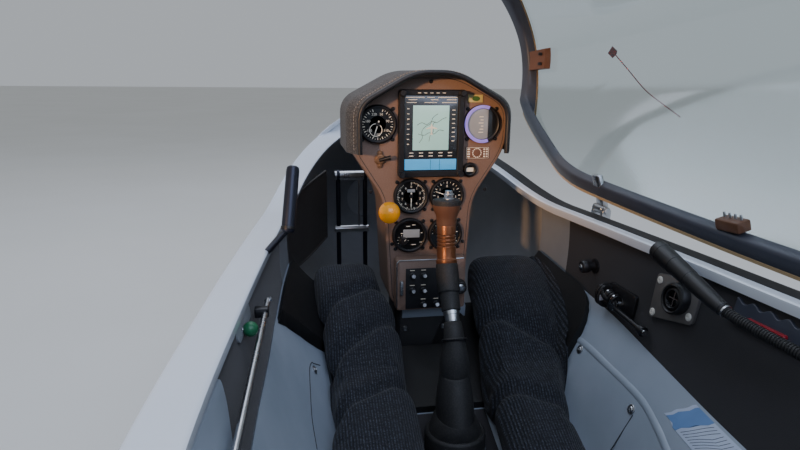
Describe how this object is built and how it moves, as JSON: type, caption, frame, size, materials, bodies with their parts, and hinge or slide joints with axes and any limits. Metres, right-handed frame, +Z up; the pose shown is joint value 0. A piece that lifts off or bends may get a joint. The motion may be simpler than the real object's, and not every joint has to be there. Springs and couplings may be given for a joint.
{
  "type": "sailplane cockpit section",
  "caption": "Forward fuselage section of a sailplane: front seat, instrument pod, control stick, pedals and a side-hinged clear canopy standing open.",
  "frame": {"origin": "on the rear frame's flat rear face, on the centre plane at the height of the cockpit sill", "axes": "+Y to the nose, +X to the pilot's right, +Z up"},
  "size_m": [1.0415, 2.3, 1.1711],
  "materials": {
    "gelcoat": "gloss white gelcoat",
    "lining": "charcoal wall lining",
    "tub": "pale blue-grey painted composite",
    "panel": "dark warm grey crackle paint",
    "hood": "black stitched grained cover",
    "knit": "black ribbed knit",
    "black": "black",
    "rubber": "black rubber",
    "bronze": "bronze brown",
    "steel": "satin steel",
    "anodised": "blue-black anodised",
    "yellow": "orange yellow",
    "green": "green",
    "frame": "dark blue-grey composite frame",
    "glass": "clear acrylic",
    "grey": "grey",
    "red": "red"
  },
  "bodies": {
    "cockpit": {"hull_shell": "gelcoat", "rear_frame": "gelcoat", "lining_left": "lining", "side_wall_left": "grey", "lining_right": "lining", "side_wall_right": "grey", "seat_tub": "tub", "thigh_support": "black", "seat_back": "tub", "headrest": "black", "thigh_cushion_left": "knit", "thigh_cushion_right": "knit", "seat_cushion": "knit", "back_cushion": "knit", "stick_bearings": "steel", "gaiter_base": "rubber", "pod_body": "panel", "pod_hood": "hood", "pod_column": "grey", "airspeed_indicator": "black", "vario_display": "black", "altimeter": "black", "needle_vario": "black", "radio": "black", "transponder": "black", "flight_display_small": "black", "map_display": "black", "selector_valve": "steel", "plate_upper": "grey", "plate_lower": "grey", "switch_panel": "panel", "release_knob": "yellow", "pedal_carriage": "grey", "airbrake_lever": "anodised", "wall_rod": "steel", "trim_knob": "green", "wall_recess": "grey", "side_pocket": "grey", "gear_lever": "rubber", "gear_gate": "red", "air_vent": "black", "map_clamp": "steel", "wall_knob": "black", "hinge_lug_rear": "steel", "hinge_lug_front": "steel"},
    "canopy": {"canopy_glass": "glass", "canopy_frame": "frame", "arch_catch": "bronze", "rail_lock": "bronze", "yaw_string": "red"},
    "stick_roll_body": {"roll_tube": "steel"},
    "stick": {"stick_tube": "steel", "stick_grip": "bronze", "gaiter_cuff": "rubber"},
    "left_pedal": {"pedal_left": "steel"},
    "right_pedal": {"pedal_right": "steel"}
  },
  "joints": [
    {"name": "canopy_hinge", "type": "hinge", "parent": "cockpit", "child": "canopy", "pos_m": [0.336, 0.75, 0.004], "axis": [-0.0698, 0.9976, 0], "range_deg": [-76, 0]},
    {"name": "stick_roll", "type": "hinge", "parent": "cockpit", "child": "stick_roll_body", "pos_m": [0, 1.12, -0.34], "axis": [0, 1, 0], "range_deg": [-12, 12]},
    {"name": "stick_pitch", "type": "hinge", "parent": "stick_roll_body", "child": "stick", "pos_m": [0, 1.12, -0.34], "axis": [1, 0, 0], "range_deg": [-6, 18]},
    {"name": "left_pedal_hinge", "type": "hinge", "parent": "cockpit", "child": "left_pedal", "pos_m": [0, 1.655, -0.292], "axis": [1, 0, 0], "range_deg": [-16, 16]},
    {"name": "right_pedal_hinge", "type": "hinge", "parent": "cockpit", "child": "right_pedal", "pos_m": [0, 1.655, -0.292], "axis": [1, 0, 0], "range_deg": [-16, 16]}
  ],
  "couplings": [
    {"joint": "right_pedal_hinge", "follows": "left_pedal_hinge", "ratio": -1}
  ]
}
